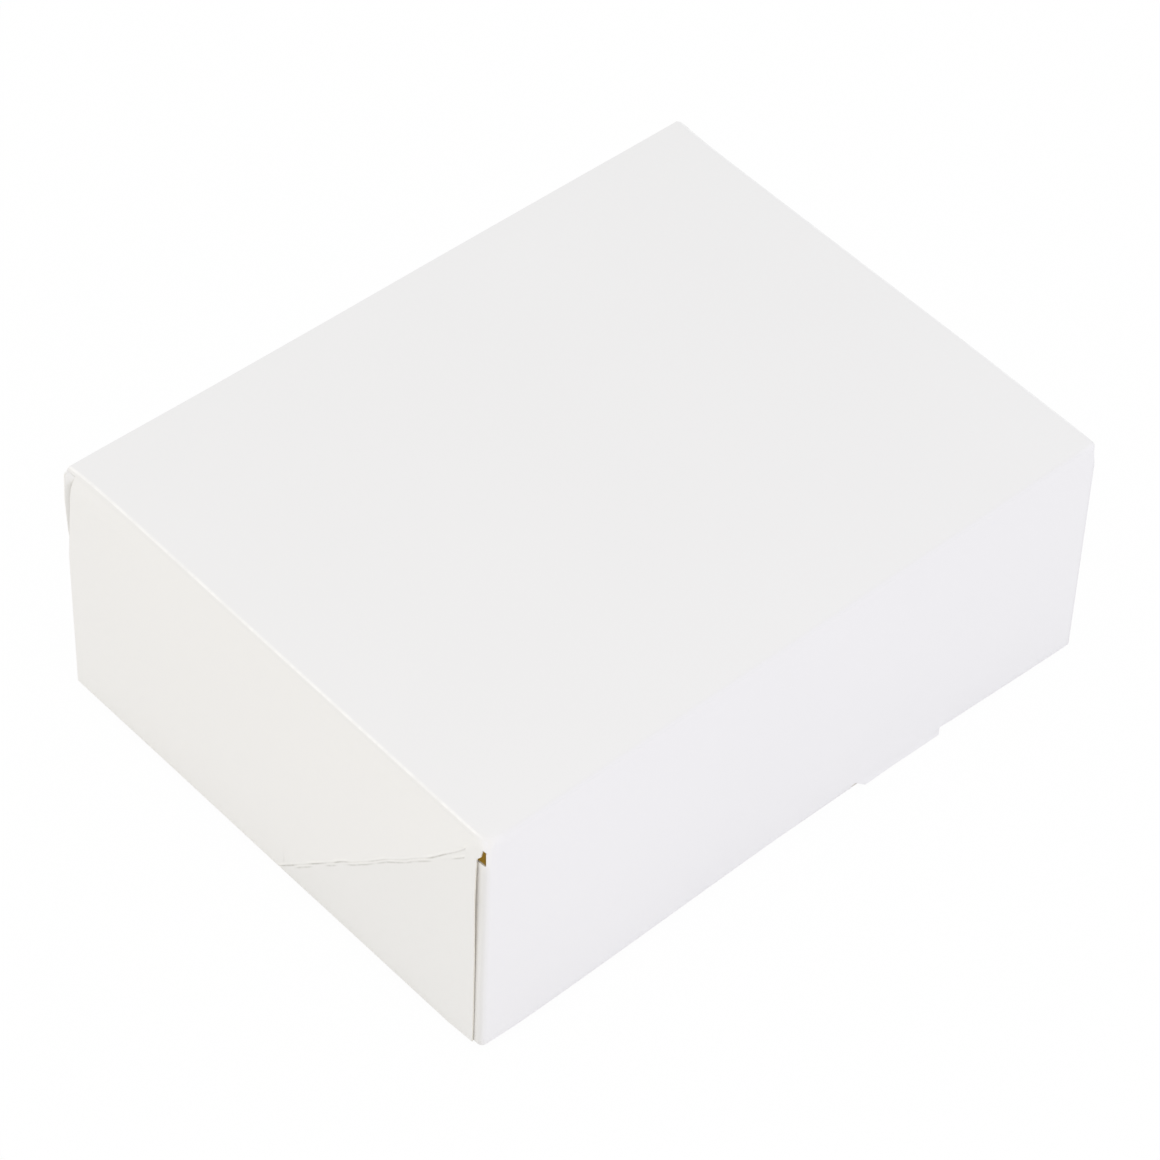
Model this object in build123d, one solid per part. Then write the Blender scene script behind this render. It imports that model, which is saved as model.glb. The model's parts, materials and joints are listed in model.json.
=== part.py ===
from build123d import *
from math import sqrt
import os

# Board, in millimetres
board = 0.5                  # thickness of the coated paperboard
fold_radius = 0.6            # inside radius of every fold
fold_lap = 2.0               # flat board that runs on past a corner fold, within the panel beside it
glue_bite = 0.05             # how far two glued boards are pressed into one another
crease_width = 1.0           # slanted creases that let the glued corners fold flat
crease_depth = 0.12

# Box
inside_width = 228.6         # clear width of the tray, along its front
inside_depth = 177.8         # clear depth of the tray, front to back
inside_height = 88.9         # base to the lid's underside
front_clearance = 1.0        # tray's front wall to the lid's front panel
side_clearance = 0.4         # tray's side walls to the lid's glue tabs
lid_seat_gap = 0.5           # tray's wall tops to the lid's underside
glue_tab_length = 22.0       # from a corner fold to the tab's free end
glue_tab_corner = 8.0        # corner cut off a tab's free end

# Tray
corner_relief = 0.4          # slit between a side wall's end and the wall beside it
tray_tab_lift = 3.0          # tray's glue tabs start this far above the base
front_corner_cut = 18.0      # cut off the tray's front top corners, along both walls
slot_height = 1.0            # slit that takes the lock tab, just above the front base fold
slot_clearance = 1.0         # spare length of the slit at each end of the lock tab

# Lid
lid_floor_gap = 1.2          # floor to the lower edges of the front panel and skirts
skirt_flare = 3.2            # how far a side skirt leans out at its lower edge
corner_flare = 1.4           # how far a glued front corner leans out at its lower edge
corner_gap = 4.9             # skirt's front edge to the front panel's face
crease_drop = 2.3            # lid's top face to the crease, at the front panel's face
lid_tab_drop = 10.0          # lid's top face to the upper edge of its glue tabs
rear_gap_top = 3.5           # skirt's rear edge to the back wall's face, just below the top fold
rear_gap_low = 1.0           # the same, from the end of the rear edge's slant downwards
rear_slant_height = 40.0     # height of that slant, from the top fold downwards

# Lock tab on the front panel's lower edge
lock_tab_center = 46.2       # to the right of the box's middle
lock_tab_root = 34.5         # width where it joins the front panel
lock_tab_tip = 29.8          # width at its free edge
lock_tab_reach = 1.6         # how far it leans out in front of the front panel
lock_tab_floor_gap = 0.2     # floor to its free edge

# Folds, seen through the middle of the board
fold_out = fold_radius + board
bend = fold_radius + board / 2

# Widths from the middle of the box, and depths with the lock tab counted in
inside_half = inside_width / 2
tray_half = inside_half + board
lid_half = tray_half + side_clearance + 2 * board - glue_bite
outside_depth = inside_depth + 3 * board + front_clearance
back_y = (outside_depth + lock_tab_reach) / 2
front_y = back_y - outside_depth
tray_front_y = front_y + board + front_clearance

# Heights
box_height = inside_height + 2 * board
wall_top = box_height - board - lid_seat_gap
lid_mid = box_height - board / 2
skirt_top = lid_mid - bend

# The lid turns about the middle of its rear edge
hinge_y = back_y - board / 2


def folded(plane, points, start, end):
    """Board bent along a line of points drawn through its middle, running from start to end."""
    section = trace(FilletPolyline(*points, radius=bend), line_width=board)
    return extrude(plane.offset(start) * section, amount=end - start, dir=plane.z_dir)


def sheet(points, thickness):
    """Flat board with its outline in space, thickened along a vector."""
    face = Face(Wire.make_polygon([Vector(*p) for p in points], close=True))
    return extrude(face, amount=Vector(*thickness).length, dir=thickness)


def across(points, start, end):
    """Prism along X over an outline given as (y, z)."""
    return extrude(Plane.YZ.offset(start) * make_face(Polyline(*points, close=True)), amount=end - start)


def both_sides(right):
    """A right-hand piece with its left-hand twin."""
    return [right, mirror(right, about=Plane.YZ)]


def slanted_strip(y, z, end_z, rise, width):
    """Outline in (y, z) of a strip at 45 degrees from a point to a height, leaning to +Y or -Y."""
    half = width / sqrt(2)
    end_y = y + rise * (end_z - z)
    return [(y - half, z), (y + half, z), (end_y + half, end_z), (end_y - half, end_z)]


def make_tray():
    side_mid = tray_half - board / 2
    front_mid = tray_front_y + board / 2
    back_mid = back_y - board / 2
    side_start = tray_front_y + board + corner_relief
    side_end = back_y - board - corner_relief

    # The base with its side walls, then the same base with its front and back walls
    side_line = [(-side_mid, wall_top), (-side_mid, board / 2), (side_mid, board / 2), (side_mid, wall_top)]
    tray = folded(Plane.XZ, side_line, -side_end, -side_start)
    end_line = [(front_mid, wall_top), (front_mid, board / 2), (back_mid, board / 2), (back_mid, wall_top)]
    end_half = inside_half - fold_out
    tray += folded(Plane.YZ, end_line, -end_half, end_half)

    # Glue tabs of the front and back walls, folded in along the side walls
    tab_x = inside_half + glue_bite - board / 2
    tab_start = board + tray_tab_lift
    for wall_y, inward in ((front_mid, 1), (back_mid, -1)):
        tab_end = wall_y + inward * glue_tab_length
        line = [(end_half - fold_lap, wall_y), (tab_x, wall_y), (tab_x, tab_end)]
        tab = folded(Plane.XY, line, tab_start, wall_top)
        cut = [
            (tab_end, wall_top),
            (tab_end - inward * glue_tab_corner, wall_top),
            (tab_end, wall_top - glue_tab_corner),
        ]
        tab -= across(cut, 0, tray_half)
        tray += both_sides(tab)

    # Creases in the side walls, from the base corners up
    for corner_y, rise in ((tray_front_y + board, 1), (back_y - board, -1)):
        strip = slanted_strip(corner_y + rise * fold_out, fold_out, wall_top + board, rise, crease_width)
        tray -= both_sides(across(strip, tray_half - crease_depth, tray_half + board))

    # Slit for the lock tab
    slot_length = lock_tab_root + 2 * slot_clearance
    slot_z = fold_out + slot_height / 2
    tray -= Pos(lock_tab_center, front_mid, slot_z) * Box(slot_length, 3 * board, slot_height)

    # Front top corners, cut off through the walls and the glue tabs behind them
    for hand in (1, -1):
        corner = (hand * tray_half, tray_front_y, wall_top - front_corner_cut)
        tray = split(tray, bisect_by=Plane(corner, z_dir=(hand, -1, 1)), keep=Keep.BOTTOM)
    return tray


def make_lid():
    front_mid = front_y + board / 2
    lean = skirt_flare / (lid_mid - lid_floor_gap)
    lean_board = board * sqrt(1 + lean ** 2)
    lean_edge = lid_half - board / 2

    def skirt_face(z):
        """How far out the skirt's outer face is at a height."""
        return lean_edge + lean * (lid_mid - z) + lean_board / 2

    # Top panel with its side folds, then with its front fold and the round edge it swings on
    fold_end = skirt_top - board / 2
    fold_x = lean_edge + lean * (lid_mid - fold_end)
    side_line = [(-fold_x, fold_end), (-lean_edge, lid_mid), (lean_edge, lid_mid), (fold_x, fold_end)]
    lid = folded(Plane.XZ, side_line, -hinge_y, -front_y - fold_out)
    lid += Pos(0, hinge_y, lid_mid) * Rot(0, 90, 0) * Cylinder(board / 2, 2 * (lid_half - fold_out))

    # Crease across each skirt, down from the top front corner at 45 degrees
    crease_top = box_height - crease_drop
    edge_y = front_y + corner_gap
    edge_z = crease_top - corner_gap
    crease_end_y = front_y + crease_top - lid_floor_gap

    # Skirt behind the crease
    shoulder_y = front_y + fold_out
    rear_y = back_y - rear_gap_low
    outline = [
        (shoulder_y, skirt_top),
        (shoulder_y, crease_top - fold_out),
        (crease_end_y, lid_floor_gap),
        (rear_y, lid_floor_gap),
        (rear_y, skirt_top - rear_slant_height),
        (back_y - rear_gap_top, skirt_top),
    ]
    lid += both_sides(sheet([(skirt_face(z), y, z) for y, z in outline], (-lean_board, 0, 0)))

    # Triangle in front of the crease, held in at the glued corner
    corner_x = lid_half + corner_flare
    triangle = [
        (skirt_face(edge_z), edge_y, edge_z),
        (skirt_face(lid_floor_gap), crease_end_y, lid_floor_gap),
        (corner_x, edge_y, lid_floor_gap),
    ]
    lid += both_sides(sheet(triangle, (-lean_board, 0, 0)))
    drop_lean = (corner_x - skirt_face(edge_z)) / (edge_z - lid_floor_gap)
    back_lean = (skirt_face(lid_floor_gap) - corner_x) / (crease_end_y - edge_y)

    def corner_face(z):
        """How far out the glued corner's outer face is at a height, at the front panel."""
        triangle_x = skirt_face(edge_z) + drop_lean * (edge_z - z) - back_lean * corner_gap
        return triangle_x - lean_board + glue_bite

    # Front fold and front panel
    front_top_half = corner_face(skirt_top) - fold_out
    front_line = [(hinge_y, lid_mid), (front_mid, lid_mid), (front_mid, fold_end)]
    lid += folded(Plane.YZ, front_line, -front_top_half, front_top_half)
    front_low_half = corner_face(lid_floor_gap) - fold_out
    front_panel = [
        (-front_top_half, front_y, skirt_top),
        (front_top_half, front_y, skirt_top),
        (front_low_half, front_y, lid_floor_gap),
        (-front_low_half, front_y, lid_floor_gap),
    ]
    lid += sheet(front_panel, (0, board, 0))

    # Glue tabs of the front panel, folded back along the inside of the triangles
    tab_top = box_height - lid_tab_drop
    tab_x = corner_face(tab_top) - board / 2
    tab_end = front_mid + glue_tab_length
    tab_line = [
        (tab_x - fold_out - fold_lap, front_mid),
        (tab_x, front_mid),
        (tab_x + back_lean * glue_tab_length, tab_end),
    ]
    tab_section = trace(FilletPolyline(*tab_line, radius=bend), line_width=board)
    tab_run = Vector(drop_lean, 0, -1) * (tab_top - lid_floor_gap)
    tab = extrude(Plane.XY.offset(tab_top) * tab_section, amount=tab_run.length, dir=tab_run)
    cut = [
        (tab_end + board, lid_floor_gap - board),
        (tab_end - glue_tab_corner, lid_floor_gap - board),
        (tab_end + board, lid_floor_gap + glue_tab_corner),
    ]
    tab -= across(cut, 0, 2 * lid_half)
    lid += both_sides(tab)

    # Groove of the crease
    half = crease_width / sqrt(2)
    groove = [
        (edge_y - half, edge_z),
        (edge_y + half, edge_z),
        (crease_end_y + half, lid_floor_gap),
        (crease_end_y - half, lid_floor_gap),
    ]
    lid -= both_sides(sheet([(skirt_face(z) - crease_depth, y, z) for y, z in groove], (board, 0, 0)))

    # Lock tab, bent down and out from the front panel's lower edge
    lock_tab = [
        (lock_tab_center - lock_tab_root / 2, front_y, lid_floor_gap),
        (lock_tab_center + lock_tab_root / 2, front_y, lid_floor_gap),
        (lock_tab_center + lock_tab_tip / 2, front_y - lock_tab_reach, lock_tab_floor_gap),
        (lock_tab_center - lock_tab_tip / 2, front_y - lock_tab_reach, lock_tab_floor_gap),
    ]
    lid += sheet(lock_tab, (0, board, 0))
    return lid


os.makedirs("parts", exist_ok=True)
for name, piece in (("tray", make_tray()), ("lid", make_lid())):
    export_step(piece, f"parts/{name}.step")
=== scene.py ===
import json
from math import cos, exp, hypot, pi, radians, sin, sqrt

import bmesh
import bpy
from mathutils import Matrix, Vector


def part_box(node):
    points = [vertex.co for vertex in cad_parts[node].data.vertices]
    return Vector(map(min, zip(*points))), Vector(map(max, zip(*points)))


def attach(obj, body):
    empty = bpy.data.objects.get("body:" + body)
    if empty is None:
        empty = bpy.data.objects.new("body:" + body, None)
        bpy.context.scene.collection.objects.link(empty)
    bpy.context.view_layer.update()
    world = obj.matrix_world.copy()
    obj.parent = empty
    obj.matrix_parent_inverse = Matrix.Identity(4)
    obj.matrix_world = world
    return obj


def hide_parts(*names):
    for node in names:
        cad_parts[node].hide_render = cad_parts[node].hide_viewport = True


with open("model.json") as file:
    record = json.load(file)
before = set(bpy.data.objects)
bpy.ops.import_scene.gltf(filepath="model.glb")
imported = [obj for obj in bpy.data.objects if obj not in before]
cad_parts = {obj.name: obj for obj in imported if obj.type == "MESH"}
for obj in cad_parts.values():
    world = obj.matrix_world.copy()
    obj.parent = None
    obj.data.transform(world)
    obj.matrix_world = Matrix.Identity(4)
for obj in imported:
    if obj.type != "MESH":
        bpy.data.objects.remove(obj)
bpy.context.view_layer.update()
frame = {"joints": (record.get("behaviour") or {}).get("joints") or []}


# Tray: one die-cut blank of white-faced paperboard with its four walls folded up from the base.
# The front and back walls end in glue tabs stuck inside the side walls, which have slanted creases.
# The back wall runs up to the fold that the lid swings on.
mm = 0.001  # in metres; the lengths of the box are in millimetres
board = 0.5  # thickness of the paperboard
fold_out = 1.1  # outside radius of a fold
tray_low, tray_high = (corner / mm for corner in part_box("tray"))
tray_half = tray_high.x  # middle of the box to a side wall's face
tray_front = tray_low.y  # front wall's face
back = tray_high.y  # back wall's face
lid_half = 116.15  # middle of the box to the lid's side fold
wall_height = tray_high.z  # floor to the walls' tops
hinge = Vector(frame["joints"][0]["pos_m"]) / mm  # the fold that the lid swings on
hinge_bead_play = 0.04  # back wall's top to the lid's top face
back_height = hinge.z + board / 2 - hinge_bead_play  # floor to the back wall's top
glue_tab_length = 22.0  # corner fold to a glue tab's free end
glue_tab_corner = 8.0  # corner cut off a glue tab's free end
tray_tab_lift = 3.0  # base fold to a glue tab's lower edge
corner_relief = 0.9  # slit between a side wall and the wall beside it
front_corner_cut = 18.0  # cut off the front top corners, along both walls
rear_corner_cut = {-1: 0.14, 1: 1.5}  # cut off the rear top corners, left and right
slot_middle = 46.2  # slit in the front wall, to the right of the middle
slot_half = 17.4  # half its length
slot_low = 1.1  # its lower edge above the floor
slot_high = 2.1  # its upper edge
glue_step = 0.55  # how far the glue tabs lie inside the side walls
rear_splay = {-1: 5.4, 1: 2.2}  # how far the rear corners stand out, left and right
rear_splay_run = 4.5  # distance from the back wall that the splay fades over
rear_splay_width = 25.0  # width of back wall that it takes along
rear_splay_heights = ((0.0, 20.0), (-20.0, 85.0))  # two ranges of height that it grows over
rear_roll = 0.57  # share of the splay that is lost at the very top
rear_roll_height = 0.8  # height of that rolled-in top
rear_bulge = 1.0  # how far the back wall bulges beside its corners
rear_bulge_width = 40.0  # width of the bulge
rear_bulge_heights = (20.0, 70.0, 74.0)  # where it starts, is full and fades again
rear_shift = {-1: 0.5, 1: -0.45}  # how far the hinge fold runs back at its ends, left and right
rear_lift = {-1: 0.5, 1: -0.2}  # how far it rises there
rear_lift_width = 50.0  # length of fold that rises
rear_follow_from = 40.0  # height from which the back wall goes along
crease_bend = 22.0  # a crease bends within this distance of its corner
hinge_round = 0.48  # radius of the hinge edge, as a share of the board
smooth_angle = 35.0  # in degrees; sharper edges stay sharp
beside_fold = (0.3, 0.7, 1.1, 1.8, 3.0, 4.8, 8.0)  # score lines on both sides of a fold
below_wall_top = (0.2, 0.4, 0.8, 4.0)  # score lines below the walls' tops
grid_pitch = 12.0  # about the distance between all other lines
slack = 0.01  # spare room when places are compared
hair = 0.001  # less than this counts as nothing
hinge_rim = 0.4  # height of the band that holds the hinge edge
coat_tones = ((0.836, 0.836, 0.836, 1), (0.85, 0.85, 0.85, 1))  # two whites of the coating
flap_shade_tones = ((0.81, 0.812, 0.812, 1), (0.825, 0.827, 0.827, 1))  # the same with painted shade, for the flap below a crease
front_fold_shade_tone = (0.824, 0.824, 0.824, 1)  # painted shade in the front fold
side_fold_shade_tone = (0.826, 0.826, 0.826, 1)  # painted shade just below a side fold
highlight_and_worn_tone = (0.94, 0.94, 0.935, 1)  # painted highlight and rubbed coating along a side fold
crack_shade_tone = (0.5, 0.495, 0.47, 1)  # board that shows in a crack, darkened further with painted shade
rim_highlight_tone = (0.9, 0.9, 0.89, 1)  # painted highlight on the coating raised beside a crack
edge_shade_tone = (0.74, 0.74, 0.745, 1)  # painted shade on the side edges of the front panel
liner_tones = ((0.72, 0.6, 0.36, 1), (0.8, 0.68, 0.43, 1))  # two creams of the uncoated back
fibre_tone = (0.55, 0.42, 0.22, 1)  # specks in it
core_tones = ((0.74, 0.72, 0.63, 1), (0.86, 0.845, 0.79, 1))  # darker and paler fibres of a cut edge
cloud_grain = (60.0, 2.0)  # grain size and detail of the slow change of tone
patch_grain = (11.0, 1.0)  # of the places where a crack is firm or faint
wander_grain = (16.0, 1.0)  # of a crack's wandering
crumb_grain = (2.2, 4.0)  # of the broken coating


def start_blank(name, low, high):
    """A flat sheet over a rectangle, in millimetres, left in edit mode."""
    bpy.ops.object.select_all(action="DESELECT")
    bpy.ops.mesh.primitive_plane_add(size=1)
    piece = bpy.context.object
    piece.name = piece.data.name = name
    bpy.ops.object.mode_set(mode="EDIT")
    bpy.ops.transform.resize(value=(high[0] - low[0], high[1] - low[1], 1), center_override=(0, 0, 0))
    bpy.ops.transform.translate(value=((high[0] + low[0]) / 2, (high[1] + low[1]) / 2, 0))
    return piece


def pick_faces(piece, test):
    """Select the faces whose middle passes a test."""
    bpy.ops.mesh.select_mode(type="FACE")
    bpy.ops.mesh.select_all(action="DESELECT")
    mesh = bmesh.from_edit_mesh(piece.data)
    for face in mesh.faces:
        face.select_set(bool(test(face.calc_center_median())))
    bmesh.update_edit_mesh(piece.data)


def score(piece, point, square_to, test=lambda middle: True):
    """Draw a straight line through a point over the faces that pass a test."""
    pick_faces(piece, test)
    across = (*Vector(square_to).normalized(), 0)
    bpy.ops.mesh.bisect(plane_co=(*point, 0), plane_no=across, threshold=hair)


def score_rows(piece, places, square_to):
    """Draw parallel lines across the whole sheet."""
    for place in places:
        score(piece, (place * square_to[0], place * square_to[1]), square_to)


def cut_away(piece, test):
    """Cut off the faces whose middle passes a test."""
    pick_faces(piece, test)
    bpy.ops.mesh.delete(type="FACE")


def rows(low, high):
    """Evenly spaced places between two limits, about the grid's pitch apart."""
    count = round((high - low) / grid_pitch)
    return [low + (high - low) * step / count for step in range(1, count)]


def keep_blank(piece):
    """Note where each point lies in the flat blank, in the piece's own UV map too."""
    bpy.ops.object.mode_set(mode="OBJECT")
    flat = [point.co.copy() for point in piece.data.vertices]
    while piece.data.uv_layers:
        piece.data.uv_layers.remove(piece.data.uv_layers[0])
    layer = piece.data.uv_layers.new(name="blank")
    for loop in piece.data.loops:
        layer.data[loop.index].uv = flat[loop.vertex_index].xy
    return flat


def fold(piece, flat, test, point, axis, turn):
    """Turn the points whose place in the blank passes a test about a fold line."""
    bpy.ops.object.mode_set(mode="EDIT")
    bpy.ops.mesh.select_mode(type="VERT")
    bpy.ops.mesh.select_all(action="DESELECT")
    mesh = bmesh.from_edit_mesh(piece.data)
    for place, vertex in zip(flat, mesh.verts):
        vertex.select_set(bool(test(place)))
    bmesh.update_edit_mesh(piece.data)
    bpy.ops.transform.rotate(value=-radians(turn), orient_axis=axis, center_override=point)
    bpy.ops.object.mode_set(mode="OBJECT")


def settle(piece, flat, shape):
    """Move every point from its sharply folded place to where the board comes to rest."""
    for place, vertex in zip(flat, piece.data.vertices):
        vertex.co = shape(place, vertex.co.copy())


def ease(value, start, end):
    """Smooth step from 0 at start to 1 at end."""
    share = min(max((value - start) / (end - start), 0), 1)
    return share * share * (3 - 2 * share)


def side_of(x):
    """1 on the right-hand side of the box and -1 on the left."""
    return 1 if x > 0 else -1


def board_piece(piece, materials, rim_test):
    """Bring a folded sheet to metres, give it the board's thickness and round its hinge edge."""
    bpy.ops.object.select_all(action="DESELECT")
    piece.select_set(True)
    bpy.context.view_layer.objects.active = piece
    bpy.ops.object.mode_set(mode="EDIT")
    bpy.ops.mesh.select_all(action="SELECT")
    bpy.ops.transform.resize(value=(mm, mm, mm), center_override=(0, 0, 0))
    bpy.ops.object.mode_set(mode="OBJECT")
    for material in materials:
        piece.data.materials.append(material)
    wall = piece.modifiers.new("board", "SOLIDIFY")
    wall.thickness = board * mm
    wall.offset = -1
    wall.material_offset = 1
    wall.material_offset_rim = 2
    bpy.ops.object.modifier_apply(modifier=wall.name)
    bpy.ops.object.mode_set(mode="EDIT")
    bpy.ops.mesh.select_mode(type="EDGE")
    bpy.ops.mesh.select_all(action="DESELECT")
    mesh = bmesh.from_edit_mesh(piece.data)
    for edge in mesh.edges:
        first, second = (end.co / mm for end in edge.verts)
        along = abs(first.x - second.x) > board
        on_rim = any(face.material_index == 2 for face in edge.link_faces)
        edge.select_set(on_rim and along and rim_test(first) and rim_test(second))
    bmesh.update_edit_mesh(piece.data)
    bpy.ops.mesh.bevel(offset=hinge_round * board * mm, segments=4, affect="EDGES")
    bpy.ops.object.mode_set(mode="OBJECT")
    bpy.ops.object.shade_smooth_by_angle(angle=radians(smooth_angle))


class Shade:
    """One socket of a material's nodes; sums and products of such sockets add Math nodes."""

    def __init__(self, tree, socket=None):
        self.tree = tree
        self.socket = socket

    def node(self, kind, settings=None, sockets=None, output=0):
        """Add a node, with its settings and then the values or links of its sockets."""
        made = self.tree.nodes.new("ShaderNode" + kind)
        for name, value in (settings or {}).items():
            setattr(made, name, value)
        for name, value in (sockets or {}).items():
            if isinstance(value, Shade):
                self.tree.links.new(value.socket, made.inputs[name])
            else:
                made.inputs[name].default_value = value
        return Shade(self.tree, made.outputs[output])

    def output(self, name):
        """Another output of the node that this socket belongs to."""
        return Shade(self.tree, self.socket.node.outputs[name])

    def maths(self, operation, *values):
        """Add a Math node on these values."""
        return self.node("Math", {"operation": operation}, dict(enumerate(values)))

    def __add__(self, other):
        return self.maths("ADD", self, other)

    def __radd__(self, other):
        return self.maths("ADD", other, self)

    def __sub__(self, other):
        return self.maths("SUBTRACT", self, other)

    def __rsub__(self, other):
        return self.maths("SUBTRACT", other, self)

    def __mul__(self, other):
        return self.maths("MULTIPLY", self, other)

    def __rmul__(self, other):
        return self.maths("MULTIPLY", other, self)

    def __pow__(self, other):
        return self.maths("POWER", self, other)

    def __neg__(self):
        return self.maths("MULTIPLY", self, -1)

    def __abs__(self):
        return self.maths("ABSOLUTE", self)

    def at_least(self, other):
        """The larger of this value and another."""
        return self.maths("MAXIMUM", self, other)

    def step(self, start, end):
        """Smooth step of this value, from 0 at start to 1 at end."""
        limits = {"Value": self, "From Min": start, "From Max": end}
        return self.node("MapRange", {"interpolation_type": "SMOOTHSTEP"}, limits)

    def blend(self, first, second):
        """Mix of two colours, with this value as the share of the second."""
        return self.node("Mix", {"data_type": "RGBA"}, {0: self, 6: first, 7: second}, 2)


def new_material(name):
    """A material with its main shader, and the start of its node expressions."""
    material = bpy.data.materials.new(name)
    material.use_nodes = True
    shader = material.node_tree.nodes["Principled BSDF"]
    return material, shader, Shade(material.node_tree)


def plug(shader, name, shade):
    """Link a node expression to one of the main shader's sockets."""
    shade.tree.links.new(shade.socket, shader.inputs[name])


def paper_noise(start, size, detail=3.0):
    """Noise over a piece, with its grain size in millimetres."""
    place = start.node("TexCoord", output="Object")
    return start.node("TexNoise", None, {"Vector": place, "Scale": 1 / (size * mm), "Detail": detail})


def line_mask(distance, inner, outer):
    """1 along a line, up to an inner distance on either side, fading to 0 at an outer one."""
    return 1 - abs(distance).step(inner, outer)


def fold_shade_and_highlight(start, colour, drop, behind):
    """Painted shade in the folds; along the side folds, painted highlight and rubbed coating, in places.
    """
    crumbs = paper_noise(start, *crumb_grain)
    patches = paper_noise(start, *patch_grain)
    # painted shade in the front fold
    front_fold_shade = line_mask(behind, 0.5, 1.7) * (-drop).step(3, 8)
    colour = front_fold_shade.blend(colour, front_fold_shade_tone)
    on_side = behind.step(2, 6)
    # painted shade just below a side fold
    side_fold_shade = line_mask(drop - 0.8, 0.4, 1.4) * on_side
    colour = side_fold_shade.blend(colour, side_fold_shade_tone)
    # a bright line along each side fold: part painted highlight, part rubbed coating
    highlight_and_wear = line_mask(drop + 0.35, 0.2, 0.85) * on_side
    highlight_and_wear = highlight_and_wear * (0.55 + 0.45 * crumbs.step(0.35, 0.6)) * (0.6 + 0.4 * patches.step(0.35, 0.55))
    return highlight_and_wear.blend(colour, highlight_and_worn_tone)


def creased_wall(start, colour, drop, behind, from_corner, offset, pull):
    """Painted shade below a slanted crease and in its two cracked lines, with painted highlights on their
    rims.
    """
    cloud = paper_noise(start, *cloud_grain)
    crumbs = paper_noise(start, *crumb_grain)
    patches = paper_noise(start, *patch_grain)
    wander = paper_noise(start, *wander_grain)
    lead = (1 - from_corner * (1 / crease_bend)).at_least(0)
    bent = from_corner + offset - pull * lead ** 1.5
    below = (drop - bent) * sqrt(0.5)
    on_wall = drop.step(3.0, 5.0) * behind.step(0.0, 0.5)
    # painted shade on the flap below the crease
    shaded_flap = below.step(-0.5, 1.5) * on_wall
    colour = shaded_flap.blend(colour, cloud.blend(*flap_shade_tones))
    cracked_and_shaded = on_wall * from_corner.step(7.6, 8.4)
    upper = below + (wander - 0.5) * 1.6
    lower = upper - 0.85 - 2.4 * lead
    firm = patches.step(0.35, 0.6)
    # the crease's cracked lines, darkened with painted shade, with painted highlights on their rims
    for line, share in ((upper, 0.4 + 0.6 * firm), (lower, 0.7 - 0.7 * firm)):
        shown = cracked_and_shaded * share
        crack_and_shade = line_mask(line, 0.05, 0.45) * shown * (0.6 + 0.4 * crumbs.step(0.35, 0.55))
        rim_highlight = line_mask(line + 0.65, 0.1, 0.6) * shown * (0.5 + 0.5 * crumbs.step(0.4, 0.6))
        colour = (crack_and_shade * 0.8).blend(colour, crack_shade_tone)
        colour = (rim_highlight * 0.9).blend(colour, rim_highlight_tone)
    return colour


def painted_edge_shade(colour, drop, behind):
    """Painted shade on the side edges of the front panel, where its glue tabs turn in behind the skirts.
    """
    # painted shade, deepest in a narrow line beside each fold
    on_tab = (-behind).step(7.0, 14.0) * (1 - (-drop).step(0.0, 2.0)) * (1 - drop.step(4.0, 7.0))
    shade_dip = on_tab * line_mask(drop - 0.9, 0.2, 1.3)
    return (on_tab * 0.42 + shade_dip * 0.35).blend(colour, edge_shade_tone)


def white_coating(name, half, front, creases):
    """Clay-coated outer face: soft white, with painted shade and highlights on its worn folds and cracked
    creases.
    """
    material, shader, start = new_material(name)
    across = start.node("SeparateXYZ", None, {0: start.node("UVMap", {"uv_map": "blank"})})
    along = across.output(1)
    drop = abs(across) - half
    behind = along - front
    cloud = paper_noise(start, *cloud_grain)
    grain = paper_noise(start, 0.9)
    colour = fold_shade_and_highlight(start, cloud.blend(*coat_tones), drop, behind)
    for corner, offset, pull in creases:
        colour = creased_wall(start, colour, drop, behind, abs(along - corner), offset, pull)
    plug(shader, "Base Color", painted_edge_shade(colour, drop, behind))
    plug(shader, "Roughness", 0.5 + 0.12 * grain)
    bump = start.node("Bump", None, {"Strength": 0.12, "Distance": 0.03 * mm, "Height": grain + cloud})
    plug(shader, "Normal", bump)
    shader.inputs["Specular IOR Level"].default_value = 0.3
    return material


def manila_liner(name):
    """Uncoated inner face: cream board with short fibres and darker specks of recycled pulp."""
    material, shader, start = new_material(name)
    cloud = paper_noise(start, 25.0)
    fibre = paper_noise(start, 0.7, 5.0)
    specks = fibre.step(0.62, 0.75) * 0.5
    plug(shader, "Base Color", specks.blend(cloud.blend(*liner_tones), fibre_tone))
    plug(shader, "Roughness", 0.75 + 0.15 * fibre)
    bump = start.node("Bump", None, {"Strength": 0.25, "Distance": 0.05 * mm, "Height": fibre})
    plug(shader, "Normal", bump)
    shader.inputs["Specular IOR Level"].default_value = 0.2
    return material


def cut_board(name):
    """Die-cut edge of the board: pale cream core with a slightly ragged grain."""
    material, shader, start = new_material(name)
    fibre = paper_noise(start, 0.4, 4.0)
    plug(shader, "Base Color", fibre.blend(*core_tones))
    plug(shader, "Roughness", 0.8 + 0.15 * fibre)
    bump = start.node("Bump", None, {"Strength": 0.3, "Distance": 0.05 * mm, "Height": fibre})
    plug(shader, "Normal", bump)
    shader.inputs["Specular IOR Level"].default_value = 0.2
    return material


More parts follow.
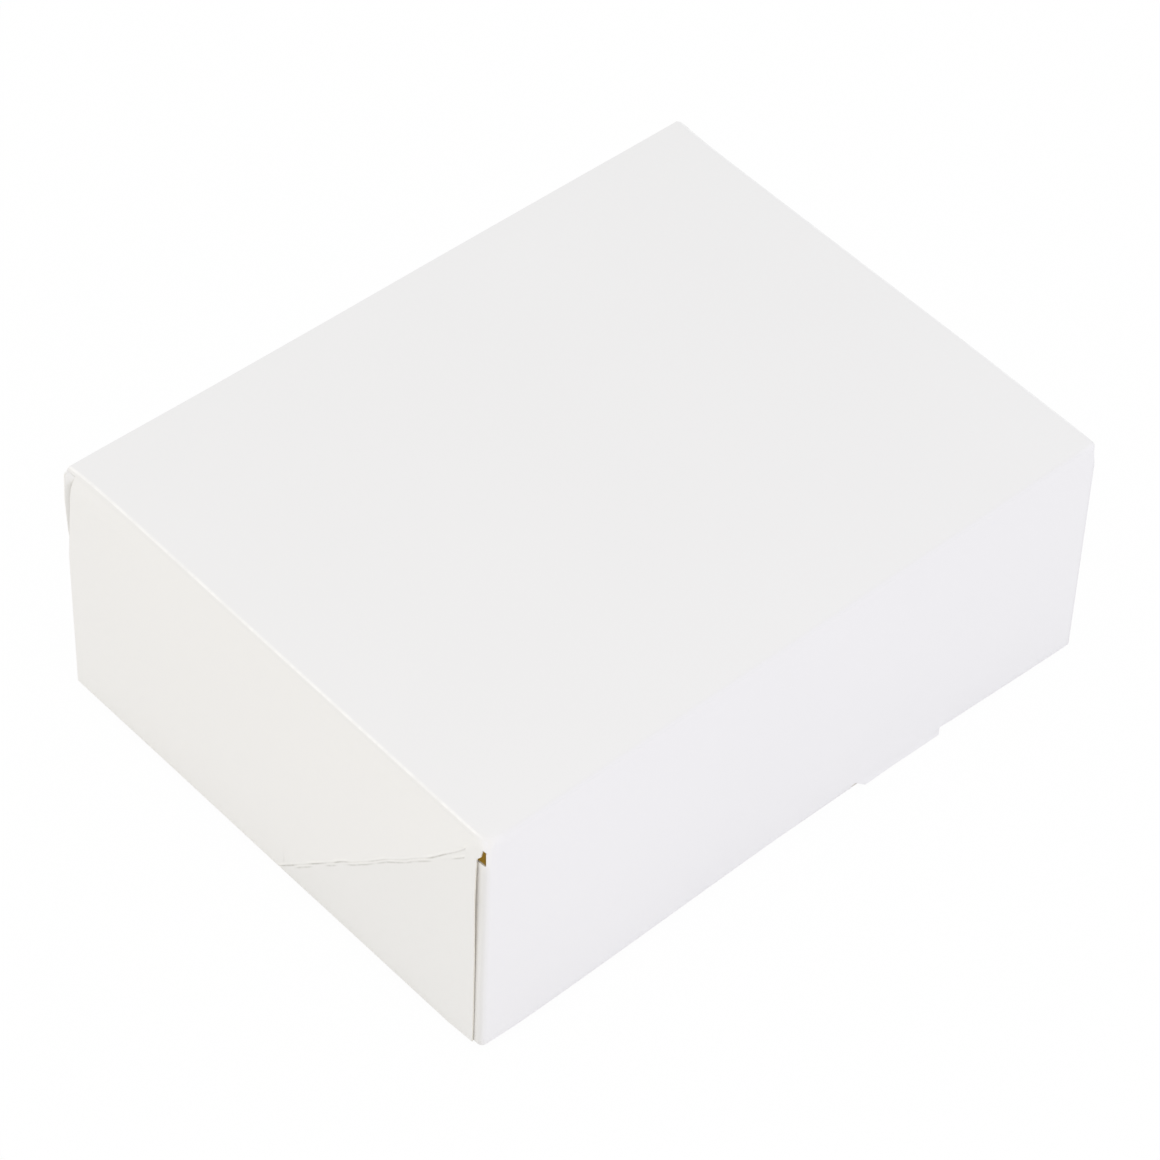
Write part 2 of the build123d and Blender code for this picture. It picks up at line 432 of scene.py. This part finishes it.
tray = start_blank(
    "tray_board",
    (-tray_half - wall_height, tray_front - wall_height),
    (tray_half + wall_height, back + back_height),
)
for side in (-1, 1):
    score_rows(tray, [side * (tray_half + gap) for gap in (0, *beside_fold)], (1, 0))
    score_rows(tray, [side * (tray_half - gap) for gap in beside_fold], (1, 0))
    score_rows(tray, [side * place for place in rows(tray_half, tray_half + wall_height)], (1, 0))
score_rows(tray, rows(-tray_half, tray_half), (1, 0))
for edge in (tray_front, back):
    score_rows(tray, [edge + gap for gap in (0, *beside_fold)], (0, 1))
    score_rows(tray, [edge - gap for gap in beside_fold], (0, 1))
score_rows(tray, rows(tray_front - wall_height, tray_front), (0, 1))
score_rows(tray, rows(tray_front, back), (0, 1))
score_rows(tray, rows(back, back + back_height), (0, 1))
score_rows(tray, [back + wall_height - gap for gap in below_wall_top], (0, 1))
for side in (-1, 1):
    score_rows(tray, [side * (tray_half + wall_height - gap) for gap in below_wall_top], (1, 0))


def tray_rise(place):
    """How far a point of the blank lies beyond the base, along the front or back walls."""
    return max(tray_front - place.y, place.y - back)


def corner_cut(place):
    """How much is cut off the top corner that is nearest to a point."""
    return front_corner_cut if place.y < 0 else rear_corner_cut[side_of(place.x)]


def in_corner(place):
    """In one of the blank's corners, beyond the base both ways."""
    return abs(place.x) > tray_half and tray_rise(place) > 0


def on_side_wall(place):
    """On one of the side walls."""
    return abs(place.x) > tray_half and tray_rise(place) < 0


def on_end_wall(place):
    """On the front or back wall."""
    return abs(place.x) < tray_half and tray_rise(place) > 0


tab_end = tray_half + glue_tab_length
tab_slant = glue_tab_length + wall_height - glue_tab_corner
for side in (-1, 1):
    score(tray, (side * tab_end, 0), (1, 0), in_corner)
    for edge, outward in ((tray_front, -1), (back, 1)):
        corner_start = (side * tray_half, edge + outward * tab_slant)
        score(tray, corner_start, (side, outward), in_corner)
        score(tray, (0, edge + outward * wall_height), (0, 1), in_corner)
        score(tray, (0, edge - outward * corner_relief), (0, 1), on_side_wall)
        cut_height = wall_height - corner_cut(Vector((side, outward, 0)))
        score(tray, (side * (tray_half + cut_height), edge), (side, outward), on_side_wall)
        cut_start = (side * tray_half, edge + outward * cut_height)
        score(tray, cut_start, (side, outward), on_end_wall)
        score(tray, cut_start, (side, -outward), in_corner)
cut_away(tray, lambda m: in_corner(m) and not (
    tray_tab_lift < tray_rise(m) < wall_height
    and abs(m.x) < tab_end
    and abs(m.x) - tray_half + tray_rise(m) < tab_slant
    and tray_rise(m) - abs(m.x) + tray_half < wall_height - corner_cut(m)
))
cut_away(tray, lambda m: on_side_wall(m) and abs(m.x) - tray_half > fold_out and (
    tray_rise(m) > -corner_relief
    or abs(m.x) - tray_half + tray_rise(m) > wall_height - corner_cut(m)
))
cut_away(tray, lambda m: on_end_wall(m)
         and abs(m.x) - tray_half + tray_rise(m) > wall_height - corner_cut(m))
for end in (slot_middle - slot_half, slot_middle + slot_half):
    score(tray, (end, 0), (1, 0), on_end_wall)
score(tray, (0, tray_front - slot_high), (0, 1), on_end_wall)
cut_away(tray, lambda m: on_end_wall(m)
         and m.y < 0
         and abs(m.x - slot_middle) < slot_half
         and slot_low < tray_rise(m) < slot_high)

pick_faces(tray, lambda middle: True)
bpy.ops.mesh.flip_normals()
tray_flat = keep_blank(tray)
for side in (-1, 1):
    corner_point = (side * tray_half, 0, 0)
    fold(tray, tray_flat, lambda p: side * p.x > tray_half + slack, corner_point, "Y", -90 * side)
fold(tray, tray_flat, lambda p: p.y < tray_front - slack, (0, tray_front, 0), "X", -90)
fold(tray, tray_flat, lambda p: p.y > back + slack, (0, back, 0), "X", 90)


def rear_fold_move(x):
    """How the fold that tray and lid share is moved back and up, at a place along it."""
    backward = rear_shift[side_of(x)] * ease(abs(x), 0, lid_half)
    upward = rear_lift[side_of(x)] * ease(abs(x), lid_half - rear_lift_width, lid_half)
    return Vector((0, backward, upward))


def settle_tray(flat, place):
    """Round folds, tabs set in by a board's thickness, and rear corners that stand outwards."""
    inner_half = tray_half - fold_out
    centre = Vector((
        min(max(place.x, -inner_half), inner_half),
        min(max(place.y, tray_front + fold_out), back - fold_out),
        max(place.z, fold_out),
    ))
    if abs(flat.x) < tray_half and flat.y > back - fold_out and place.z > fold_out:
        centre.y = place.y - fold_out
    reach = place - centre
    if reach.length > hair:
        place = centre + reach.normalized() * fold_out
    if tray_rise(flat) > 0:
        place.x *= 1 - glue_step / tray_half * ease(tray_rise(flat), 0, tray_tab_lift)
    near_back = exp(-max(back - place.y, 0) / rear_splay_run)
    side = side_of(place.x)
    outward = rear_splay[side] * near_back * ease(abs(place.x), tray_half - rear_splay_width, tray_half)
    for low, full in rear_splay_heights:
        outward *= ease(place.z, low, full)
    roll = max(1 - (wall_height - place.z) / rear_roll_height, 0)
    outward *= 1 - rear_roll * (1 - sqrt(1 - min(roll, 1) ** 2))
    bulge_low, bulge_full, bulge_end = rear_bulge_heights
    bulge = ease(place.z, bulge_low, bulge_full) * (1 - ease(place.z, bulge_end, wall_height))
    bulge *= ease(abs(place.x), tray_half - rear_bulge_width, tray_half)
    move = rear_fold_move(place.x) * ease(place.z, rear_follow_from, wall_height)
    move.y += rear_bulge * bulge
    return place + Vector((side * outward, 0, 0)) + move * near_back


settle(tray, tray_flat, settle_tray)
tray_faces = [
    white_coating("tray_coating", tray_half, tray_front, [(tray_front, 0, 0), (back, 0, 0)]),
    manila_liner("tray_liner"),
    cut_board("tray_edge"),
]
board_piece(tray, tray_faces, lambda p: p.z > back_height - hinge_rim)
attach(tray, "tray")
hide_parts("tray")


# Lid: cut from the same blank of board, with a front panel and two side skirts folded down.
# The front panel's glue tabs are stuck behind the skirts, which have a slanted crease to fold flat.
# A short lock tab on the front panel's lower edge leans out at the foot of the box.
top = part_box("lid")[1].z / mm  # floor to the lid's top face
lid_front = -89.35  # front panel's face
panel_height = 88.7  # top face to the lower edges of front panel and skirts
lid_tab_drop = 10.0  # top face to the glue tabs' upper edges
lid_tab_sliver = 0.7  # strip of board left along the fold above a glue tab
cap_height = 3.7  # drop of the closed corner cap, at its rear end
cap_front = 4.8  # its drop at the front panel
ledge_length = 2.0  # length of the cap's lower edge along the skirt
blunt_back = 2.35  # blunt corner of the skirt's front edge, behind the front panel
blunt_drop = 6.7  # and below the top
tip_back = 3.5  # tip of the skirt's front edge, behind the front panel
tip_drop = 8.2  # and below the top
edge_back_low = 3.2  # lower end of that edge, behind the front panel
crease_drop = 2.3  # top face to the crease's straight line, at the front panel
crease_pull = 4.7  # how far the crease bends up from that line
crease_floor = 2.0  # the bent crease keeps at least this drop at the front panel
crease_floor_slope = 0.8  # and this much more with each millimetre behind it
crease_places = (tip_back, 9.0, 13.0, crease_bend, panel_height)  # where the crease's pieces meet
crease_reach = 3.0  # its score lines may start this far above the tip
crease_rows = (-1.4, -0.75, -0.3, 0.15, 0.8)  # score lines along the crease
rear_gap_top = 3.2  # back to the skirt's rear edge, below the top fold
rear_gap_low = 0.45  # the same, at the end of its slant
rear_slant = 34.0  # drop of the slant's lower end
rear_clip = 1.8  # clipped off the right rear corner
lock_tab_left = 29.0  # lock tab's left side, at its root
lock_tab_right = 62.6  # its right side
lock_tab_length = 2.45  # root to free edge
lock_tab_taper_left = 2.8  # how far its left side slants in
lock_tab_taper_right = 1.2  # and its right side
lock_tab_lean = 25.0  # how far it leans out, in degrees

lid = start_blank(
    "lid_board",
    (-lid_half - panel_height, lid_front - panel_height - lock_tab_length),
    (lid_half + panel_height, back),
)
for side in (-1, 1):
    score_rows(lid, [side * (lid_half + gap) for gap in (0, *beside_fold)], (1, 0))
    score_rows(lid, [side * (lid_half - gap) for gap in beside_fold], (1, 0))
    score_rows(lid, [side * place for place in rows(lid_half, lid_half + panel_height)], (1, 0))
score_rows(lid, rows(-lid_half, lid_half), (1, 0))
score_rows(lid, [lid_front + gap for gap in (0, *beside_fold)], (0, 1))
score_rows(lid, [lid_front - gap for gap in beside_fold], (0, 1))
score_rows(lid, [back - gap for gap in beside_fold], (0, 1))
score_rows(lid, rows(lid_front - panel_height, lid_front), (0, 1))
score_rows(lid, rows(lid_front, back), (0, 1))
score_rows(lid, [lid_front - panel_height], (0, 1))


def skirt_place(point):
    """Distance back from the front panel and drop below the top, for a point of a skirt in the blank."""
    return point.y - lid_front, abs(point.x) - lid_half


def on_skirt(point):
    """On one of the side skirts."""
    back_from_front, drop = skirt_place(point)
    return back_from_front > 0 and drop > 0


def crease_at(behind):
    """Drop of the crease below the top, at a distance behind the front panel."""
    bent = behind + crease_drop - crease_pull * max(1 - behind / crease_bend, 0) ** 1.5
    return max(bent, crease_floor_slope * behind + crease_floor)


def by_tip(point):
    """On a skirt, beside its front top corner."""
    back_from_front, drop = skirt_place(point)
    return on_skirt(point) and back_from_front < beside_fold[-1] and drop < tip_drop


def below_cap(point):
    """Below the slope under the corner cap, where the skirt and the front panel part."""
    behind, drop = skirt_place(point)
    return drop > cap_front - (cap_front - cap_height) * behind / ledge_length


front_edge = (
    (cap_height, ledge_length),
    (blunt_drop, blunt_back),
    (tip_drop, tip_back),
    (panel_height, edge_back_low),
)


def tip_edge(drop):
    """How far back the skirt's front edge is at a drop below the ledge."""
    for (upper, start), (lower, end) in zip(front_edge, front_edge[1:]):
        if drop < lower:
            break
    return start + (end - start) * (drop - upper) / (lower - upper)


def rear_edge(drop):
    """How far the skirt's rear edge stops short of the back at a drop below the top."""
    share = min(max((drop - fold_out) / (rear_slant - fold_out), 0), 1)
    return rear_gap_top + (rear_gap_low - rear_gap_top) * share


def by_rear_edge(point):
    """On a skirt, near its rear edge."""
    return on_skirt(point) and point.y > back - grid_pitch


def on_tab_band(point):
    """Beside the front panel, where its glue tabs are cut."""
    return abs(point.x) > lid_half and point.y < lid_front


lock_low = lid_front - panel_height


def on_lock_band(point):
    """Below the front panel, where the lock tab is cut."""
    return point.y < lock_low


for side in (-1, 1):
    score(lid, (side * (lid_half + tip_drop), 0), (1, 0), on_skirt)
    ledge_end = (side * (lid_half + cap_height), lid_front + ledge_length)
    score(lid, (0, lid_front + ledge_length), (0, 1), by_tip)
    score(lid, ledge_end, (side * ledge_length, cap_front - cap_height), by_tip)
    score(lid, (side * (lid_half + blunt_drop), 0), (1, 0), by_tip)
    for (upper, start), (lower, end) in zip(front_edge, front_edge[1:]):
        corner = (side * (lid_half + upper), lid_front + start)
        score(lid, corner, (-side * (end - start), lower - upper), lambda m: (
            on_skirt(m) and skirt_place(m)[0] < beside_fold[-1] and upper < skirt_place(m)[1] < lower))
    slant_top = (side * (lid_half + fold_out), back - rear_gap_top)
    slant = (-side * (rear_gap_top - rear_gap_low), rear_slant - fold_out)
    score(lid, (side * (lid_half + rear_slant), 0), (1, 0), by_rear_edge)
    score(lid, slant_top, slant, lambda m: by_rear_edge(m) and skirt_place(m)[1] < rear_slant)
    score(lid, (0, back - rear_gap_low), (0, 1), lambda m: on_skirt(m) and skirt_place(m)[1] > rear_slant)
    for place in crease_places[1:-1]:
        score(lid, (0, lid_front + place), (0, 1), on_skirt)
    for near, far in zip(crease_places, crease_places[1:]):
        steep = (crease_at(far) - crease_at(near)) / (far - near)
        for offset in crease_rows:
            start = (side * (lid_half + crease_at(near) + offset * hypot(1, steep)), lid_front + near)
            score(lid, start, (side, -steep), lambda m: (
                on_skirt(m)
                and skirt_place(m)[1] > tip_drop - crease_reach
                and near < skirt_place(m)[0] < far))
    score(lid, (side * (lid_half + glue_tab_length), 0), (1, 0), on_tab_band)
    low_corner = (side * (lid_half + glue_tab_length - glue_tab_corner), lid_front - panel_height)
    score(lid, low_corner, (side, -1), on_tab_band)
score(lid, (0, lid_front - lid_tab_drop), (0, 1), on_tab_band)
clip_start = (lid_half - rear_clip, back)
score(lid, clip_start, (1, 1), lambda m: min(m.x - lid_half, m.y - back) > -beside_fold[-1])
lock_tab_sides = ((lock_tab_left, lock_tab_taper_left, 1), (lock_tab_right, lock_tab_taper_right, -1))
for root, taper, hand in lock_tab_sides:
    score(lid, (root, lock_low), (lock_tab_length, hand * taper), on_lock_band)

cut_away(lid, lambda m: on_skirt(m)
         and below_cap(m)
         and skirt_place(m)[0] < tip_edge(skirt_place(m)[1]))
cut_away(lid, lambda m: on_skirt(m)
         and skirt_place(m)[1] > fold_out
         and back - m.y < rear_edge(skirt_place(m)[1]))
cut_away(lid, lambda m: m.x < lid_half + fold_out and m.x - lid_half + m.y - back > -rear_clip)
cut_away(lid, lambda m: on_tab_band(m) and (
    lid_front - m.y < cap_front
    or lid_front - m.y < lid_tab_drop and abs(m.x) > lid_half + lid_tab_sliver
    or abs(m.x) > lid_half + glue_tab_length
    or abs(m.x) - lid_half + lid_front - m.y > panel_height + glue_tab_length - glue_tab_corner
))
cut_away(lid, lambda m: on_lock_band(m) and not (
    lock_tab_left + lock_tab_taper_left * (lock_low - m.y) / lock_tab_length < m.x
    < lock_tab_right - lock_tab_taper_right * (lock_low - m.y) / lock_tab_length
))

lid_flat = keep_blank(lid)
fold(lid, lid_flat, lambda p: p.y < lock_low - slack, (0, lock_low, 0), "X", -lock_tab_lean)
for side in (-1, 1):
    fold(lid, lid_flat, lambda p: side * p.x > lid_half + slack, (side * lid_half, 0, 0), "Y", 90 * side)
fold(lid, lid_flat, lambda p: p.y < lid_front - slack, (0, lid_front, 0), "X", 90)

soft_corner = {-1: 3.0, 1: 0.5}  # added radius of the front top corners, left and right
soft_reach = 5.5  # how far that softness reaches
edge_radius = {-1: 1.8, 1: 0.7}  # radius of the front panel's side folds, left and right
panel_offset = {-1: -0.2, 1: 0.45}  # how far outwards these folds are set, left and right
panel_spread = {-1: 0.3, 1: 2.85}  # added to it at the lower edge
skirt_stand = 0.4  # gap between a skirt and its glue tab
skirt_stand_low = 0.3  # added to it at the lower edge
corner_press = 0.5  # how far a skirt's front lower corner is pressed in
corner_press_from = 0.3  # share of the height where that starts
corner_press_fade = (3.0, 14.0)  # distances behind the front panel that it fades over
glue_gap = 0.03  # room for glue on a tab
tab_turn = (3.6, 6.5)  # lengths of tab that turn to lie along the skirt
flare_rear = 3.65  # how far a skirt leans out at its rear lower corner
bow_middle = (lock_tab_left + lock_tab_right) / 2  # the front panel bows most here
front_bow = 0.85  # how far its lower edge bows in
front_raise = 1.6  # how far that edge is raised
front_bulge = 0.5  # how far the front panel bulges near its left side
front_bulge_start = 16.0  # the bulge grows over this width
front_bulge_fade = -100.0  # and fades from here to the middle
low_band = 25.0  # height of the band that is raised or sags
right_sag = 0.75  # how far the lower edge sags on the right
right_sag_run = (50.0, 68.0)  # places that the sag grows over
right_bow = 0.45  # how far the lid's right side bows out
right_bow_from = 40.0  # place where that starts
right_bow_run = 60.0  # distance behind the front panel that it grows over
crest = 0.8  # how far a skirt stands out at its crease
crest_span = 30.0  # distance from the crease that this fades over
crest_rise = 30.0  # drop that it grows over
crest_loss = 0.9  # share of it lost at the lower edge
crest_fade = (45.0, 88.0)  # drops that it is lost over
groove = 0.14  # depth of the crease's groove
groove_place = 0.1  # below the crease's line
groove_width = 0.3
ridge = 0.1  # height of the ridge above the groove
ridge_place = -0.75
ridge_width = 0.45
fold_fade = 6.0  # drop over which a fold's own moves fade
rear_push = 3.5  # how far a skirt's rear edge is pushed out
rear_push_run = 22.0  # distance from the back that this fades over
rear_fold_push = 1.2  # how far a side fold is pushed out at the back
rear_fold_run = 8.0  # distance from the back that this fades over
rear_fold_width = 20.0  # width of top panel that it takes along
rear_shift_run = 20.0  # distance from the back that the hinge fold's move fades over
seam_band = 0.5  # height of board below the cap that the seam may take in
seam_gap = 0.02  # edges this close are joined
lid_rim_depth = 2.0  # depth of the band that holds the hinge edge


def panel_out(side, drop):
    """How far the front panel's side fold stands outside the top's edge at a drop below it."""
    offset = panel_offset[side] * ease(drop, cap_height, lid_tab_drop)
    return offset + panel_spread[side] * drop / panel_height


def skirt_out(side, behind, drop):
    """How far the skirt's face stands outside the top's edge."""
    share = drop / panel_height
    back_share = behind / (back - lid_front)
    stand = board + skirt_stand + skirt_stand_low * share
    stand -= corner_press * ease(share, corner_press_from, 1) * (1 - ease(behind, *corner_press_fade))
    glued = panel_out(side, drop) + stand * ease(drop, cap_height, lid_tab_drop)
    out = glued * (1 - back_share) + flare_rear * share * back_share
    below = (drop - crease_at(behind)) / sqrt(2)
    raised = max(1 - abs(below) / crest_span, 0) * ease(drop, 0, crest_rise)
    out += crest * raised * (1 - crest_loss * ease(drop, *crest_fade))
    if drop > tip_drop:
        out += ridge * exp(-((below - ridge_place) / ridge_width) ** 2)
        out -= groove * exp(-((below - groove_place) / groove_width) ** 2)
    short_of_back = back - lid_front - behind
    pushed = exp(-short_of_back / rear_push_run) * ease(drop, 0, fold_fade)
    return out + rear_push * pushed * (1 - share)


def settle_front(flat, place, side, drop):
    """Spread, bow and bulge the front panel, with its glue tabs and lock tab."""
    out = panel_out(side, drop) * min(abs(flat.x) / lid_half, 1)
    beyond = abs(flat.x) - lid_half
    if beyond > 0:
        glued = skirt_out(side, beyond, drop) - board - glue_gap
        out += (glued - out) * ease(beyond, *tab_turn)
    place.x += side * out
    span = lid_half + bow_middle if flat.x < bow_middle else lid_half - bow_middle
    tent = max(1 - abs(flat.x - bow_middle) / span, 0)
    place.y += front_bow * cos(pi / 2 * (1 - tent)) ** 2 * (drop / panel_height) ** 2
    bulge = ease(flat.x, -lid_half, front_bulge_start - lid_half) * (1 - ease(flat.x, front_bulge_fade, 0))
    place.y -= front_bulge * bulge * drop / panel_height
    low = ease(drop, panel_height - low_band, panel_height)
    place.z += (front_raise * tent - right_sag * ease(flat.x, *right_sag_run)) * low
    if flat.y < lock_low:
        place.z = max(place.z, board / 2)
    return place


def settle_lid(flat, place):
    """Round and soften the folds, then lean the skirts, bow the front panel and sink the creases."""
    place.z += top
    side = side_of(flat.x)
    drop = top - place.z
    from_corner = (Vector((abs(place.x), place.y, place.z)) - Vector((lid_half, lid_front, top))).length
    radius = fold_out + soft_corner[side] * exp(-(from_corner / soft_reach) ** 2)
    radius += (edge_radius[side] - fold_out) * ease(drop, cap_height, lid_tab_drop)
    centre = Vector((
        min(max(place.x, radius - lid_half), lid_half - radius),
        max(place.y, lid_front + radius),
        min(place.z, top - radius),
    ))
    reach = place - centre
    if reach.length > hair and flat.y > lock_low - slack:
        place = centre + reach.normalized() * radius
    if flat.y < lid_front:
        return settle_front(flat, place, side, drop)
    behind = flat.y - lid_front
    if abs(flat.x) > lid_half:
        out = skirt_out(side, behind, drop)
        if not below_cap(flat - Vector((side * slack, 0, 0))):
            glued = panel_out(side, drop)
            out = glued + (out - glued) * ease(behind, 0, ledge_length)
        place.x += side * out
    in_fold = 1 - ease(drop, 0, fold_fade)
    short_of_back = back - flat.y
    near_side = ease(abs(flat.x), lid_half - rear_fold_width, lid_half) * in_fold
    place.x += side * rear_fold_push * exp(-short_of_back / rear_fold_run) * near_side
    place.x += right_bow * ease(flat.x, right_bow_from, lid_half) * ease(behind, 0, right_bow_run)
    return place + rear_fold_move(flat.x) * exp(-short_of_back / rear_shift_run) * in_fold


settle(lid, lid_flat, settle_lid)
bpy.ops.object.mode_set(mode="EDIT")
bpy.ops.mesh.select_mode(type="VERT")
bpy.ops.mesh.select_all(action="DESELECT")
lid_mesh = bmesh.from_edit_mesh(lid.data)
for vertex in lid_mesh.verts:
    vertex.select_set(vertex.co.y < lid_front + ledge_length and vertex.co.z > top - cap_front - seam_band)
bmesh.update_edit_mesh(lid.data)
bpy.ops.mesh.remove_doubles(threshold=seam_gap)
bpy.ops.object.mode_set(mode="OBJECT")
lid_faces = [
    white_coating("lid_coating", lid_half, lid_front, [(lid_front, crease_drop, crease_pull)]),
    manila_liner("lid_liner"),
    cut_board("lid_edge"),
]
board_piece(lid, lid_faces, lambda p: p.y > back - lid_rim_depth and p.z > top - 2 * board)
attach(lid, "lid")
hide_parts("lid")


# Floor: a wide sheet of white background paper under the box.
# The camera sees it nearly pure white, with only a trace of the box's shadow left.
floor_size = 8.0  # in metres
pure_white_share = 0.97  # share of pure white that the camera sees
bpy.ops.object.select_all(action="DESELECT")
bpy.ops.mesh.primitive_plane_add(size=floor_size)
floor = bpy.context.object
floor.name = "floor"
floor_material, floor_shader, floor_start = new_material("background_paper")
floor_shader.inputs["Base Color"].default_value = (0.93, 0.93, 0.93, 1)
floor_shader.inputs["Roughness"].default_value = 0.9
floor_shader.inputs["Specular IOR Level"].default_value = 0.0
rays = floor_start.node("LightPath")
seen = rays
for name in ("Is Glossy Ray", "Is Transmission Ray"):
    seen = seen.at_least(rays.output(name))
glow = floor_start.node("Emission", None, {"Color": (1, 1, 1, 1), "Strength": 1.0})
paper = Shade(rays.tree, floor_shader.outputs[0])
shown = floor_start.node("MixShader", None, {0: seen * pure_white_share, 1: paper, 2: glow})
surface = floor_material.node_tree.nodes["Material Output"].inputs["Surface"]
floor_material.node_tree.links.new(shown.socket, surface)
floor.data.materials.append(floor_material)


# Studio light: an even white surround, with a warm soft box on the left and a cool one at the front.
# Their level lets the white board render about as bright as its own colour.
# A faint warm lamp under the lid stands for the light that gets through the thin board.
world = bpy.data.worlds.new("surround")
bpy.context.scene.world = world
world.use_nodes = True
surround = world.node_tree.nodes["Background"]
surround.inputs["Color"].default_value = (1.0, 1.0, 1.0, 1)
surround.inputs["Strength"].default_value = 0.97
lamps = (
    ("left_box", (-1.0, 0.0, 0.53), 0.7, (1.0, 0.76, 0.26), 0.73, None),
    ("front_box", (0.0, -1.05, 0.55), 0.5, (0.76, 0.68, 1.0), 1.15, None),
    ("inside_glow", (0.0, 0.0, 0.07), 0.14, (1.0, 0.8, 0.22), 0.037, lid),
)
for name, place, size, colour, watts, carrier in lamps:
    lamp = bpy.data.lights.new(name, "AREA")
    lamp.shape = "SQUARE"
    lamp.size = size
    lamp.color = colour
    lamp.energy = watts
    light = bpy.data.objects.new(name, lamp)
    bpy.context.scene.collection.objects.link(light)
    light.location = place
    light.rotation_euler = (-Vector(place)).to_track_quat("-Z", "Y").to_euler()
    light.visible_camera = False
    light.parent = carrier


# Camera: a long lens high above the left front corner, turned a little to the side.
# It looks down on the lid's top, with the front panel and the left skirt below it.
azimuth, elevation, roll = radians(-43.79), radians(47.49), radians(2.91)
target = Vector((22.2, 25.0, 1.0)) * mm
distance = 1352.1 * mm
backward = Vector((sin(azimuth) * cos(elevation), -cos(azimuth) * cos(elevation), sin(elevation)))
level = Vector((0, 0, 1)).cross(backward).normalized()
upward = backward.cross(level)
turn = Matrix((level * cos(roll) + upward * sin(roll), upward * cos(roll) - level * sin(roll), backward))
view = bpy.data.cameras.new("view")
view.lens = 137.26
view.sensor_width = 36
camera = bpy.data.objects.new("view", view)
bpy.context.scene.collection.objects.link(camera)
camera.matrix_world = Matrix.Translation(target + backward * distance) @ turn.transposed().to_4x4()
bpy.context.scene.camera = camera
bpy.context.scene.view_settings.view_transform = "Standard"
